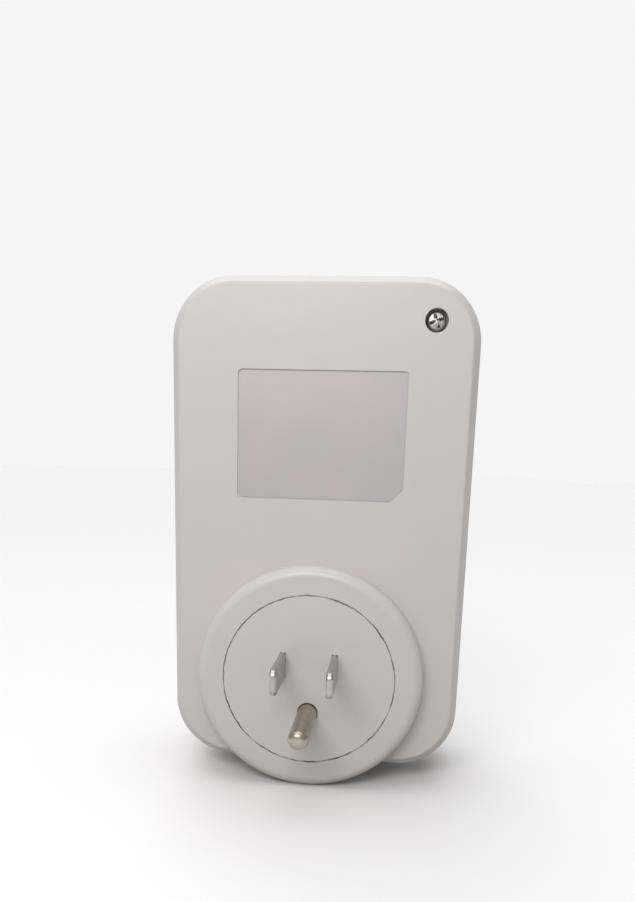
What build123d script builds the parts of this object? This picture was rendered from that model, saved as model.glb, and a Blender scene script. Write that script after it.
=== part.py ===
from build123d import *
import os
from math import acos, cos, degrees, pi, radians, sin, tan

# Plug-in timer switch: a 24-hour dial with 96 program pins turns in front of a geared synchronous motor,
# and its pressed pins work a microswitch that feeds the outlet. Millimetres, +Z up. The origin is the
# centre of the plug face, which lies in the plane y = 0. The plug points along +Y and the dial faces -Y.
# A depth is measured from the plug face towards the dial, so it is -y.

# ---------------------------------------------------------------- driving dimensions

# case
body_width = 71.4
body_height = 116.4
plug_to_bottom = 22.8
plug_off_middle = 1.0
corner_radius = 14.5
boss_height = 5.5
boss_radius = 27.9
boss_edge_radius = 2.5
rear_shell_depth = 13.5
front_shell_depth = 19.5
wall = 2.2
rear_edge_chamfer = 1.7
rear_edge_radius = 0.8
front_edge_radius = 2.5
seam_chamfer = 0.25
lip_height = 1.6
snap_width = 6.0
snap_reach = 5.5
snap_thickness = 1.0
snap_nose = 0.6
snap_nose_height = 1.6
snap_from_middle = 18.0
snap_height = 20.0
slip = 0.1
running_clearance = 0.05
shaft_gap = 0.02
end_play = 0.2

# plug, NEMA 5-15
plug_disc_radius = 21.0
plug_disc_flange = 2.6
plug_disc_thickness = 5.6
blade_spacing = 12.7
blade_thickness = 1.52
blade_width = 6.35
blade_length = 16.6
blade_tail_depth = 9.5
blade_tip_radius = 1.9
blade_tip_chamfer = 0.38
blades_above_centre = 3.6
ground_below_blades = 11.9
ground_pin_radius = 2.38
ground_pin_length = 20.4
ground_tail_radius = 2.1
ground_pin_nose = 1.7

# label pocket and case screw
label_width = 39.8
label_height = 29.8
label_below_top = 35.5
label_chamfer = 2.9
label_corner = 1.0
pocket_depth = 0.4
label_thickness = 0.15
label_gap = 0.3
screw_from_side = 10.3
screw_from_top = 9.5
screw_head_radius = 2.3
screw_head_height = 2.0
screw_shank_radius = 1.3
screw_length = 10.0
screw_tip_gap = 0.3
screw_recess_depth = 3.0
screw_recess_radius = 2.65
screw_floor = 2.0
screw_boss_wall = 1.4
screw_grip_wall = 2.0
cross_width = 0.7
cross_length = 3.2
cross_depth = 1.1

# program dial
dial_to_top = 39.0
opening_radius = 32.0
opening_collar = 1.2
collar_depth = 5.0
pointer_gap = 0.7
pointer_height = 3.6
pointer_half = 2.6
pointer_pocket = 0.6
pointer_proud = 0.2
dial_radius = 31.4
dial_face_radius = 27.2
dial_face_thickness = 1.8
dial_face_edge = 0.3
ring_wall = 1.2
ring_thickness = 3.0
ring_behind_face = 7.5
rim_behind_ring = 2.0
rim_width = 2.5
hub_radius = 5.4
hub_to_plate = 0.5
axle_radius = 2.0
axle_head_radius = 4.8
axle_head_height = 1.2
axle_head_edge = 0.6
axle_foot_width = 0.9
axle_foot_height = 0.6
pins_per_hour = 4
hours = 24
time_at_pointer = 12.5
pin_travel = 3.0
pin_stem_width = 1.18
pin_stem_inner = 27.6
pin_stem_length = 2.9
pin_slot_play = 0.06
pin_head_inner = 27.4
pin_head_length = 3.9
pin_head_inner_width = 1.48
pin_head_outer_width = 1.74
pin_chamfer = 0.3

# gears
gear_module = 0.5
pressure_angle = 20.0
tooth_play = 0.08
wheel_addendum = 0.275
wheel_dedendum = 0.65
pinion_addendum = 0.5
pinion_dedendum = 0.45
dial_teeth = 72
drive_pinion_teeth = 12
wheel_teeth = 60
second_pinion_teeth = 10
first_pinion_teeth = 9
motor_pinion_teeth = 10
wheel_thickness = 1.2
layer_step = 2.0
shaft_radius = 0.75
shaft_behind_wheel = 3.0
drive_shaft_radius = 1.5
drive_collar_width = 0.9
clutch_hub_width = 1.2
wheel_holes_at = 8.5
wheel_hole_radius = 3.0
wheel_holes = 5
clutch_slot = (9.0, 4.0)
clutch_slots = 3
towards_drive_pinion = -135.0
towards_second_gear = 90.0
towards_first_gear = 30.0
towards_motor_pinion = -40.0

# gear plate and motor
plate_thickness = 1.8
plate_gap = 0.2
plate_from_wall = 2.7
plate_below_dial = 34.0
plate_to_top = 3.2
plate_corner = 12.0
plate_screws_below_dial = 30.0
plate_screw_from_side = 7.5
upper_screw_from_opening = 3.5
upper_screw_angle = 145.0
post_radius = 1.4
motor_radius = 15.0
motor_offset = (3.71, 1.14)
motor_wall = 0.6
motor_edge_radius = 0.5
motor_cover_thickness = 0.8
motor_to_gears = 1.2
motor_from_case = 0.3
ear_angles = (60.0, -80.0, -140.0)
ear_reach = 17.0
ear_radius = 2.4
ear_post_radius = 1.6
ear_peg_radius = 1.0
ear_peg_proud = 0.4
rotor_radius = 7.0
rotor_end_gap = 0.5
bobbin_bore = 7.6
bobbin_wall = 0.7
bobbin_to_cover = 1.0
winding_radius = 13.2

# follower lever and microswitch
follower_arm = 15.0
follower_width = 3.0
follower_nose_width = 2.4
follower_nose_radius = 0.7
follower_gap = 0.4
follower_bar = 2.0
pivot_behind_plate = 1.5
pivot_block = 3.2
pivot_ear = 1.0
pivot_ear_gap = 0.25
nose_window = (-2.8, 1.9)
tail_window_from_pivot = 2.0
window_play = 0.5
trunnion_radius = 1.0
plunger_arm = 5.0
plunger_radius = 0.9
plunger_tip_radius = 0.36
plunger_gap = 0.4
plunger_seat = 3.0
plunger_bore_end = 1.5
switch_length = 20.0
switch_width = 6.4
switch_depth = 10.2
switch_past_plunger = 6.0
switch_edge_radius = 0.4
switch_rib = 1.0
terminal_width = 4.0
terminal_thickness = 0.6
terminal_seat = 4.0
terminal_length = 5.5
rear_terminal_from_back = 2.4
front_terminal_from_front = 2.8

# mode switch in the side wall
window_height = 19.0
window_width = 5.0
window_below_dial = 9.4
window_from_seam = 1.5
knob_height = 11.0
knob_proud = 1.5
knob_edge_radius = 0.5
grip_groove = 0.4
grip_grooves = 4
grip_pitch = 2.2
slider_thickness = 1.6
slider_travel = 5.2
slider_from_wall = 0.2
slider_below = 0.3
slider_above = 0.6
slider_behind = 1.2
guide_rib = 1.2
guide_proud = 0.6
cam_thickness = 1.4
cam_from_wall = 1.4
cam_overlap = 0.6
cam_below_tail = 4.6
cam_to_tail = 0.3
cam_behind_window = 0.5

# outlet, NEMA 5-15
outlet_radius = 16.5
outlet_flange = 1.5
outlet_thickness = 4.2
slot_width = 2.1
line_slot_height = 7.2
neutral_slot_height = 8.8
ground_hole_radius = 2.65
ground_hole_flat = 3.0
contact_leaf = 0.8
contact_gap = 1.5
contact_height = 7.0
contact_length = 17.0
chimney_wall = 1.2
outlet_edge = 0.4
ground_clamp_radius = 2.4
ground_clamp_wall = 0.7
ground_clamp_length = 14.0
ground_clamp_gap = 2.4
strap_width = 2.6
line_tab_gap = 3.0
neutral_tab_gap = 0.5

# indicator and wires
lens_radius = 2.4
lens_from_side = 10.7
lens_below_dial = 39.1
lens_step = 0.3
lens_flange = 0.8
lens_proud = 0.6
lens_edge_radius = 0.5
lamp_holder_wall = 1.2
lamp_radius = 2.0
lamp_length = 9.0
lamp_tip_radius = 1.2
resistor_radius = 1.1
resistor_length = 6.5
resistor_below_lens = 2.6
lamp_lead_radius = 0.3
lamp_lead_bend = 3.0
wire_radius = 1.1
wire_bend = 2.6
lead_radius = 0.6
lead_bend = 3.0
lead_to_disc = 1.6

# ---------------------------------------------------------------- places worked out from them

half_width = body_width / 2
case_middle = -plug_off_middle
body_top = body_height - plug_to_bottom
body_middle = body_height / 2 - plug_to_bottom
rear_face = boss_height
rear_inside = rear_face + wall
seam = rear_face + rear_shell_depth
front_face = seam + front_shell_depth
front_inside = front_face - wall
side_inside = half_width - wall
right_inside = case_middle + side_inside
right_side = case_middle + half_width
left_side = case_middle - half_width

dial_z = body_top - dial_to_top
ring_back = front_face - ring_behind_face
ring_front = ring_back + ring_thickness
plate_front = ring_back - pin_travel - plate_gap
plate_back = plate_front - plate_thickness
layer_gap = layer_step - wheel_thickness
pin_pitch = 360 / (hours * pins_per_hour)


def polar(centre, distance, angle):
    """The point at a distance and an angle in degrees from a centre."""
    return (centre[0] + distance * cos(radians(angle)), centre[1] + distance * sin(radians(angle)))


def mesh_distance(teeth, other_teeth):
    """Centre distance of two meshed gears."""
    return gear_module * (teeth + other_teeth) / 2


dial_centre = (case_middle, dial_z)
label_centre = (case_middle, body_top - label_below_top)
lens_place = (right_side - lens_from_side, dial_z - lens_below_dial)
drive_centre = polar(dial_centre, mesh_distance(dial_teeth, drive_pinion_teeth), towards_drive_pinion)
second_centre = polar(drive_centre, mesh_distance(wheel_teeth, second_pinion_teeth), towards_second_gear)
first_centre = polar(second_centre, mesh_distance(wheel_teeth, first_pinion_teeth), towards_first_gear)
pinion_centre = polar(first_centre, mesh_distance(wheel_teeth, motor_pinion_teeth), towards_motor_pinion)
motor_centre = (pinion_centre[0] + motor_offset[0], pinion_centre[1] + motor_offset[1])


def wheel_back(layer):
    """Depth of the rear side of the wheel in a layer; layer 0 is next to the gear plate."""
    return plate_back - layer_gap - wheel_thickness - layer * layer_step


motor_front = wheel_back(2) - motor_to_gears
cup_front = motor_front - motor_cover_thickness
motor_back = rear_inside + motor_from_case
bobbin_back = motor_back + motor_wall + end_play
bobbin_front = cup_front - bobbin_to_cover
ear_places = [polar(motor_centre, ear_reach, angle) for angle in ear_angles]

case_screw_place = (left_side + screw_from_side, body_top - screw_from_top)
plate_screw_places = [
    (left_side + plate_screw_from_side, dial_z - plate_screws_below_dial),
    (right_side - plate_screw_from_side, dial_z - plate_screws_below_dial),
    polar(dial_centre, opening_radius + upper_screw_from_opening, upper_screw_angle),
]
screw_seat = rear_face + screw_recess_depth

nose_z = dial_z + pin_stem_inner + pin_stem_length / 2
nose_tip = ring_back - follower_gap
pivot_x = case_middle + follower_arm
pivot_depth = plate_back - pivot_behind_plate
follower_back = pivot_depth - follower_bar / 2
plunger_x = pivot_x - plunger_arm
switch_front = motor_front
switch_right = plunger_x + switch_past_plunger

window_bottom = dial_z - window_below_dial
window_back = seam + window_from_seam
knob_bottom = window_bottom + (window_height - knob_height - slider_travel) / 2
slider_side = right_inside - slider_from_wall
cam_outer = right_inside - cam_from_wall
follower_end = cam_outer - cam_thickness + cam_overlap

blade_x = blade_spacing / 2
ground_z = blades_above_centre - ground_below_blades
outlet_z = (blades_above_centre + ground_z) / 2
outlet_back = front_face - outlet_thickness
contact_back = outlet_back - contact_length


def facing_front(depth, centre=(0.0, 0.0)):
    """A sketch plane at a depth that faces the front, so that extruding goes towards the dial."""
    return Plane(origin=(centre[0], -depth, centre[1]), x_dir=(1, 0, 0), z_dir=(0, -1, 0))


def body_outline(inset=0.0, mode=Mode.ADD):
    """The rounded outline of the case, or one inset from it."""
    with Locations((case_middle, body_middle)):
        RectangleRounded(body_width - 2 * inset, body_height - 2 * inset, corner_radius - inset, mode=mode)


def gear_outline(teeth, addendum, dedendum, tooth_towards):
    """Corners of a gear with involute flanks that has a tooth centred on an angle in degrees."""
    pitch_radius = gear_module * teeth / 2
    base_radius = pitch_radius * cos(radians(pressure_angle))
    half_at_pitch = (pi * gear_module / 2 - tooth_play) / 2 / pitch_radius

    def half_angle(radius):
        flank = acos(min(1.0, base_radius / radius))
        at_pitch = radians(pressure_angle)
        return half_at_pitch + tan(at_pitch) - at_pitch - tan(flank) + flank

    radii = (pitch_radius - dedendum, pitch_radius, pitch_radius + addendum)
    corners = []
    for tooth in range(teeth):
        centre = tooth_towards + 360 * tooth / teeth
        for side, along_flank in ((-1, radii), (1, radii[::-1])):
            for radius in along_flank:
                corners.append(polar((0, 0), radius, centre + side * degrees(half_angle(radius))))
    return corners


def wheel_outline(teeth, tooth_towards):
    return gear_outline(teeth, wheel_addendum, wheel_dedendum, tooth_towards)


def pinion_outline(teeth, gap_towards):
    return gear_outline(teeth, pinion_addendum, pinion_dedendum, gap_towards + 180 / teeth)


# ---------------------------------------------------------------- case

bottom_inside = wall - plug_to_bottom
snap_middles = [
    ((case_middle - snap_from_middle, bottom_inside), 90.0),
    ((case_middle + snap_from_middle, bottom_inside), 90.0),
    ((case_middle - side_inside, snap_height), 0.0),
    ((right_inside, snap_height), 180.0),
]

with BuildPart() as rear_housing:
    with BuildSketch(facing_front(rear_face)):
        body_outline()
    extrude(amount=rear_shell_depth)
    chamfer(rear_housing.faces().sort_by(Axis.Y)[-1].edges(), rear_edge_chamfer)
    fillet(rear_housing.faces().sort_by(Axis.Y)[-1].edges(), rear_edge_radius)
    chamfer(rear_housing.faces().sort_by(Axis.Y)[0].edges(), seam_chamfer)
    with BuildSketch(facing_front(0)):
        Circle(boss_radius)
    extrude(amount=boss_height + wall)
    fillet(rear_housing.faces().sort_by(Axis.Y)[-1].edges(), boss_edge_radius)
    # the hollow, and the rebate that takes the front housing's lip
    with BuildSketch(facing_front(rear_inside)):
        body_outline(wall)
    extrude(amount=rear_shell_depth - wall, mode=Mode.SUBTRACT)
    with BuildSketch(facing_front(seam - lip_height - slip)):
        body_outline(wall / 2)
    extrude(amount=lip_height + slip, mode=Mode.SUBTRACT)
    # the boss is hollow as far as the case is, and its face has the hole for the plug disc
    with BuildSketch(facing_front(plug_disc_flange)):
        Circle(boss_radius - wall)
        body_outline(wall, Mode.INTERSECT)
    extrude(amount=rear_inside - plug_disc_flange, mode=Mode.SUBTRACT)
    with BuildSketch(facing_front(0)):
        Circle(plug_disc_radius + slip)
    extrude(amount=plug_disc_flange, mode=Mode.SUBTRACT)
    # label pocket
    with BuildSketch(facing_front(rear_face, label_centre)) as pocket:
        Rectangle(label_width, label_height)
        chamfer(pocket.vertices().sort_by(Axis.X)[:2].sort_by(Axis.Y)[0], label_chamfer)
        fillet(pocket.vertices(), label_corner)
    extrude(amount=pocket_depth, mode=Mode.SUBTRACT)
    # screw boss with its deep recess
    with BuildSketch(facing_front(rear_inside, case_screw_place)):
        Circle(screw_recess_radius + screw_boss_wall)
    extrude(amount=screw_seat + screw_floor - rear_inside)
    with BuildSketch(facing_front(rear_face, case_screw_place)):
        Circle(screw_recess_radius)
    extrude(amount=screw_recess_depth, mode=Mode.SUBTRACT)
    with BuildSketch(facing_front(rear_face, case_screw_place)):
        Circle(screw_shank_radius + slip)
    extrude(amount=screw_recess_depth + screw_floor, mode=Mode.SUBTRACT)
    # posts that carry the rear ends of the shafts
    for centre, layer in ((drive_centre, 0), (second_centre, 1), (first_centre, 2)):
        with BuildSketch(facing_front(rear_inside, centre)):
            Circle(post_radius)
        extrude(amount=wheel_back(layer) - layer_gap / 2 - rear_inside)
        with BuildSketch(facing_front(rear_inside, centre)):
            Circle(shaft_radius + running_clearance)
        extrude(amount=wheel_back(layer) - layer_gap / 2 - rear_inside, mode=Mode.SUBTRACT)
    # ribs round the microswitch, whose lower side stops short of the motor
    with BuildSketch(facing_front(rear_inside)):
        with Locations((switch_right + slip, nose_z)):
            Rectangle(switch_rib, switch_width, align=(Align.MIN, Align.CENTER))
        with Locations((switch_right, nose_z + switch_width / 2 + slip)):
            Rectangle(switch_length, switch_rib, align=(Align.MAX, Align.MIN))
        with Locations((switch_right - switch_length, nose_z - switch_width / 2 - slip)):
            Rectangle(switch_length / 2, switch_rib, align=(Align.MIN, Align.MAX))
    extrude(amount=switch_depth / 2)
    with BuildSketch(facing_front(rear_inside)):
        with Locations((switch_right, nose_z)):
            Rectangle(switch_length, switch_width / 2, align=(Align.MAX, Align.CENTER))
    extrude(amount=switch_front - switch_depth - rear_inside)
    # catches for the snap hooks
    for middle, turn in snap_middles:
        with BuildSketch(facing_front(seam - snap_reach - slip, middle)):
            Rectangle(2 * (snap_nose + slip), snap_width + 2 * slip, rotation=turn)
        extrude(amount=snap_nose_height + 2 * slip, mode=Mode.SUBTRACT)

with BuildPart() as front_housing:
    with BuildSketch(facing_front(seam)):
        body_outline()
    extrude(amount=front_shell_depth)
    fillet(front_housing.faces().sort_by(Axis.Y)[0].edges(), front_edge_radius)
    chamfer(front_housing.faces().sort_by(Axis.Y)[-1].edges(), seam_chamfer)
    # the lip that locates the rear housing
    with BuildSketch(facing_front(seam - lip_height)):
        body_outline(wall / 2 + slip)
    extrude(amount=2 * lip_height)
    with BuildSketch(facing_front(seam - lip_height)):
        body_outline(wall)
    extrude(amount=front_inside - seam + lip_height, mode=Mode.SUBTRACT)
    # collar round the dial, bosses for the screws and ribs that guide the slider
    with BuildSketch(facing_front(front_face - collar_depth, dial_centre)):
        Circle(opening_radius + opening_collar)
    extrude(amount=collar_depth - wall)
    for place in plate_screw_places:
        with BuildSketch(facing_front(plate_front, place)):
            Circle(screw_shank_radius + screw_boss_wall)
        extrude(amount=front_inside - plate_front)
    with BuildSketch(facing_front(screw_seat + screw_floor + slip, case_screw_place)):
        Circle(screw_shank_radius + screw_grip_wall)
    extrude(amount=front_inside - screw_seat - screw_floor - slip)
    with BuildSketch(facing_front(plate_front + slip)):
        with Locations((right_inside, knob_bottom)):
            Rectangle(slider_thickness + guide_proud, window_height, align=(Align.MAX, Align.MIN))
    extrude(amount=guide_rib)
    # holder of the indicator lamp
    with BuildSketch(facing_front(front_inside - lamp_length, lens_place)):
        Circle(lens_radius + 2 * slip + lamp_holder_wall)
    extrude(amount=lamp_length)
    with BuildSketch(facing_front(front_inside - lamp_length, lens_place)):
        Circle(lens_radius + 2 * slip)
    extrude(amount=lamp_length, mode=Mode.SUBTRACT)
    with BuildSketch(facing_front(front_inside, lens_place)):
        Circle(lens_radius - lens_step)
    extrude(amount=wall, mode=Mode.SUBTRACT)
    # holes through the front and into the bosses
    with BuildSketch(facing_front(front_face - collar_depth, dial_centre)):
        Circle(opening_radius)
    extrude(amount=collar_depth, mode=Mode.SUBTRACT)
    with BuildSketch(facing_front(front_inside, (0, outlet_z))):
        Circle(outlet_radius + slip)
    extrude(amount=wall, mode=Mode.SUBTRACT)
    for place in plate_screw_places:
        with BuildSketch(facing_front(plate_front, place)):
            Circle(screw_shank_radius + shaft_gap)
        extrude(amount=front_inside - plate_front, mode=Mode.SUBTRACT)
    with BuildSketch(facing_front(screw_seat + screw_floor, case_screw_place)):
        Circle(screw_shank_radius + shaft_gap)
    extrude(amount=screw_length, mode=Mode.SUBTRACT)
    # window for the mode switch
    with BuildSketch(Plane.YZ.offset(right_inside - slip)):
        with Locations((-window_back, window_bottom)):
            Rectangle(window_width, window_height, align=(Align.MAX, Align.MIN))
    extrude(amount=wall + 2 * slip, mode=Mode.SUBTRACT)
    # snap hooks
    for middle, turn in snap_middles:
        tongue_middle = polar(middle, slip + snap_thickness / 2, turn)
        with BuildSketch(facing_front(seam - snap_reach, tongue_middle)):
            Rectangle(snap_thickness, snap_width, rotation=turn)
        extrude(amount=snap_reach + 2 * lip_height)
        root_middle = polar(middle, snap_thickness / 2, turn)
        with BuildSketch(facing_front(seam + slip, root_middle)):
            Rectangle(snap_thickness + 2 * slip, snap_width, rotation=turn)
        extrude(amount=2 * lip_height)
        nose_middle = polar(middle, slip / 2 - snap_nose / 2, turn)
        with BuildSketch(facing_front(seam - snap_reach, nose_middle)):
            Rectangle(snap_nose + slip, snap_width, rotation=turn)
        extrude(amount=snap_nose_height)
    # pocket for the time pointer
    pointer_tip = dial_z + opening_radius + pointer_gap
    with BuildSketch(facing_front(front_face - pointer_pocket, (case_middle, pointer_tip))):
        Polygon((0, 0), (pointer_half, pointer_height), (-pointer_half, pointer_height), align=None)
    extrude(amount=pointer_pocket, mode=Mode.SUBTRACT)

with BuildPart() as time_pointer:
    with BuildSketch(facing_front(front_face - pointer_pocket, (case_middle, pointer_tip))) as arrow:
        Polygon((0, 0), (pointer_half, pointer_height), (-pointer_half, pointer_height), align=None)
        offset(amount=-slip / 2, kind=Kind.INTERSECTION, mode=Mode.REPLACE)
    extrude(amount=pointer_pocket + pointer_proud)

with BuildPart() as rating_label:
    with BuildSketch(facing_front(rear_face + pocket_depth - label_thickness, label_centre)) as foil:
        Rectangle(label_width - 2 * label_gap, label_height - 2 * label_gap)
        chamfer(foil.vertices().sort_by(Axis.X)[:2].sort_by(Axis.Y)[0], label_chamfer)
        fillet(foil.vertices(), label_corner)
    extrude(amount=label_thickness)

with BuildPart() as self_tapping_screws:
    plate_screw_length = front_inside - plate_back - screw_tip_gap
    screws = [(case_screw_place, screw_seat, screw_length)]
    screws += [(place, plate_back, plate_screw_length) for place in plate_screw_places]
    for place, seat, length in screws:
        with BuildSketch(facing_front(seat - screw_head_height, place)):
            Circle(screw_head_radius)
        extrude(amount=screw_head_height)
        with BuildSketch(facing_front(seat, place)):
            Circle(screw_shank_radius)
        extrude(amount=length)
        with BuildSketch(facing_front(seat - screw_head_height, place)):
            Rectangle(cross_length, cross_width)
            Rectangle(cross_width, cross_length)
        extrude(amount=cross_depth, mode=Mode.SUBTRACT)

# ---------------------------------------------------------------- plug

with BuildPart() as plug_disc:
    with BuildSketch(facing_front(0)):
        Circle(plug_disc_radius)
    extrude(amount=plug_disc_flange)
    with BuildSketch(facing_front(plug_disc_flange)):
        Circle(boss_radius - wall - slip)
        body_outline(wall + slip, Mode.INTERSECT)
    extrude(amount=plug_disc_thickness - plug_disc_flange)
    with BuildSketch(facing_front(0)):
        for side in (-1, 1):
            with Locations((side * blade_x, blades_above_centre)):
                Rectangle(blade_thickness, blade_width)
        with Locations((0, ground_z)):
            Circle(ground_tail_radius)
    extrude(amount=plug_disc_thickness, mode=Mode.SUBTRACT)
    with BuildSketch(facing_front(0, (0, ground_z))):
        Circle(ground_pin_radius + 2 * slip)
    extrude(amount=plug_disc_flange, mode=Mode.SUBTRACT)


def plug_blade(side):
    """A flat blade with a rounded tip, and a tail behind the plug disc."""
    with BuildPart() as blade:
        with BuildSketch(Plane.YZ.offset(side * blade_x - blade_thickness / 2)) as side_view:
            with Locations((-blade_tail_depth, blades_above_centre)):
                Rectangle(blade_length + blade_tail_depth, blade_width, align=(Align.MIN, Align.CENTER))
            fillet(side_view.vertices().group_by(Axis.X)[-1], blade_tip_radius)
        extrude(amount=blade_thickness)
        tip_edges = blade.edges().group_by(Axis.Y)[-1]
        chamfer(tip_edges, blade_tip_chamfer)
    return blade


line_blade = plug_blade(1)
neutral_blade = plug_blade(-1)

with BuildPart() as ground_pin:
    with BuildSketch(facing_front(-ground_pin_length, (0, ground_z))):
        Circle(ground_pin_radius)
    extrude(amount=ground_pin_length)
    fillet(ground_pin.faces().sort_by(Axis.Y)[-1].edges(), ground_pin_nose)
    # the thinner tail goes through the disc to the strap
    with BuildSketch(facing_front(0, (0, ground_z))):
        Circle(ground_tail_radius)
    extrude(amount=blade_tail_depth)

# ---------------------------------------------------------------- outlet

contact_width = contact_gap + 2 * contact_leaf
cavity_width = contact_width + 2 * slip
cavity_height = contact_height + 2 * slip
clamp_outer = ground_clamp_radius + ground_clamp_wall

with BuildPart() as outlet_insert:
    with BuildSketch(facing_front(outlet_back)):
        with Locations((0, outlet_z)):
            Circle(outlet_radius + outlet_flange)
        body_outline(wall + slip, Mode.INTERSECT)
    extrude(amount=outlet_thickness - wall)
    with BuildSketch(facing_front(outlet_back, (0, outlet_z))):
        Circle(outlet_radius)
    extrude(amount=outlet_thickness)
    chamfer(outlet_insert.faces().sort_by(Axis.Y)[0].edges(), outlet_edge)
    # a chimney behind each slot holds its contact
    with BuildSketch(facing_front(contact_back)):
        for side in (-1, 1):
            with Locations((side * blade_x, blades_above_centre)):
                Rectangle(cavity_width + 2 * chimney_wall, cavity_height + 2 * chimney_wall)
        with Locations((0, ground_z)):
            Circle(clamp_outer + slip + chimney_wall)
    extrude(amount=contact_length)
    with BuildSketch(facing_front(contact_back)):
        for side in (-1, 1):
            with Locations((side * blade_x, blades_above_centre)):
                Rectangle(cavity_width, cavity_height)
        with Locations((0, ground_z)):
            Circle(clamp_outer + slip)
    extrude(amount=contact_length, mode=Mode.SUBTRACT)
    # the slots and the ground hole with its flat top
    with BuildSketch(facing_front(outlet_back)):
        with Locations((blade_x, blades_above_centre)):
            Rectangle(slot_width, line_slot_height)
        with Locations((-blade_x, blades_above_centre)):
            Rectangle(slot_width, neutral_slot_height)
        with Locations((0, ground_z)):
            Circle(ground_hole_radius)
            Rectangle(2 * ground_hole_radius, ground_hole_flat, align=(Align.CENTER, Align.MIN))
    extrude(amount=outlet_thickness, mode=Mode.SUBTRACT)


def blade_contact(side, tab_back):
    """Two spring leaves joined by a web, with a tab on the outer side that runs back to a depth."""
    front = outlet_back - slip
    inner = contact_gap / 2
    outer = inner + contact_leaf
    with BuildPart() as contact:
        with BuildSketch(Plane.XY.offset(blades_above_centre - contact_height / 2)):
            with Locations((side * blade_x, 0)):
                for leaf in (-1, 1):
                    low = min(leaf * inner, leaf * outer)
                    with Locations((low, -front)):
                        Rectangle(contact_leaf, front - contact_back, align=(Align.MIN, Align.MIN))
                with Locations((-outer, -contact_back - contact_leaf)):
                    Rectangle(2 * outer, contact_leaf, align=(Align.MIN, Align.MIN))
                tab_low = min(side * blade_thickness / 2, side * (blade_thickness / 2 + contact_leaf))
                tab_length = contact_back + contact_leaf - tab_back
                with Locations((tab_low, -contact_back - contact_leaf)):
                    Rectangle(contact_leaf, tab_length, align=(Align.MIN, Align.MIN))
        extrude(amount=contact_height)
    return contact


line_tab_back = blade_tail_depth + line_tab_gap
neutral_tab_back = plug_disc_thickness + neutral_tab_gap
line_contact = blade_contact(1, line_tab_back)
neutral_contact = blade_contact(-1, neutral_tab_back)

with BuildPart() as ground_contact:
    clamp_back = outlet_back - slip - ground_clamp_length
    with BuildSketch(facing_front(clamp_back, (0, ground_z))):
        Circle(clamp_outer)
        Circle(ground_clamp_radius, mode=Mode.SUBTRACT)
        Rectangle(ground_clamp_gap, clamp_outer, align=(Align.CENTER, Align.MIN), mode=Mode.SUBTRACT)
    extrude(amount=ground_clamp_length)
    # the strap's outer corners lie on the clamp's outer radius
    strap_outer = (clamp_outer**2 - (strap_width / 2) ** 2) ** 0.5
    with BuildSketch(facing_front(blade_tail_depth, (0, ground_z - strap_outer))):
        Rectangle(strap_width, ground_clamp_wall, align=(Align.CENTER, Align.MIN))
    extrude(amount=clamp_back - blade_tail_depth)
    with BuildSketch(facing_front(blade_tail_depth, (0, ground_z - strap_outer))):
        Rectangle(strap_width, strap_outer + ground_pin_radius / 2, align=(Align.CENTER, Align.MIN))
    extrude(amount=ground_clamp_wall)

# ---------------------------------------------------------------- gear plate and dial axle

plate_low = dial_z - plate_below_dial
plate_high = body_top - wall - plate_to_top
plate_side = side_inside - plate_from_wall

with BuildPart() as gear_plate:
    with BuildSketch(facing_front(plate_back)) as plate_outline:
        with Locations((case_middle, (plate_low + plate_high) / 2)):
            RectangleRounded(2 * plate_side, plate_high - plate_low, plate_corner)
    extrude(amount=plate_thickness)
    with BuildSketch(facing_front(plate_back)):
        # room for the case screw's boss, the follower's nose and its tail
        with Locations(case_screw_place):
            Circle(screw_shank_radius + screw_grip_wall + window_play)
        with Locations((case_middle + (nose_window[0] + nose_window[1]) / 2, nose_z)):
            Rectangle(nose_window[1] - nose_window[0], follower_width + 2 * window_play)
        with Locations((pivot_x + tail_window_from_pivot, nose_z)):
            Rectangle(half_width, follower_width + 2 * window_play, align=(Align.MIN, Align.CENTER))
    extrude(amount=plate_thickness, mode=Mode.SUBTRACT)
    # bosses that set the height of the gears, posts for the motor and ears for the follower
    for centre, layer in ((second_centre, 1), (first_centre, 2)):
        boss_back = wheel_back(layer - 1) + wheel_thickness + layer_gap / 2
        with BuildSketch(facing_front(boss_back, centre)):
            Circle(post_radius)
        extrude(amount=plate_back - boss_back)
    for place in ear_places:
        with BuildSketch(facing_front(motor_front, place)):
            Circle(ear_post_radius)
        extrude(amount=plate_back - motor_front)
        with BuildSketch(facing_front(motor_front - motor_cover_thickness - ear_peg_proud, place)):
            Circle(ear_peg_radius)
        extrude(amount=motor_cover_thickness + ear_peg_proud)
    for side in (-1, 1):
        with BuildSketch(Plane.XY.offset(nose_z + side * (follower_width / 2 + pivot_ear_gap))):
            with Locations((pivot_x, -plate_back)):
                Rectangle(pivot_block, plate_back - pivot_depth, align=(Align.CENTER, Align.MIN))
            with Locations((pivot_x, -pivot_depth)):
                Circle(pivot_block / 2)
        extrude(amount=side * pivot_ear)
    with BuildSketch(Plane.XY.offset(nose_z - follower_width)):
        with Locations((pivot_x, -pivot_depth)):
            Circle(trunnion_radius + running_clearance)
    extrude(amount=2 * follower_width, mode=Mode.SUBTRACT)
    # holes for the shafts, the axle and the screws
    with BuildSketch(facing_front(motor_front)):
        for centre in (second_centre, first_centre):
            with Locations(centre):
                Circle(shaft_radius + shaft_gap)
        with Locations(drive_centre):
            Circle(drive_shaft_radius + running_clearance)
        with Locations(dial_centre):
            Circle(axle_radius + shaft_gap)
        for place in plate_screw_places:
            with Locations(place):
                Circle(screw_shank_radius + slip)
    extrude(amount=plate_front - motor_front, mode=Mode.SUBTRACT)

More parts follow.
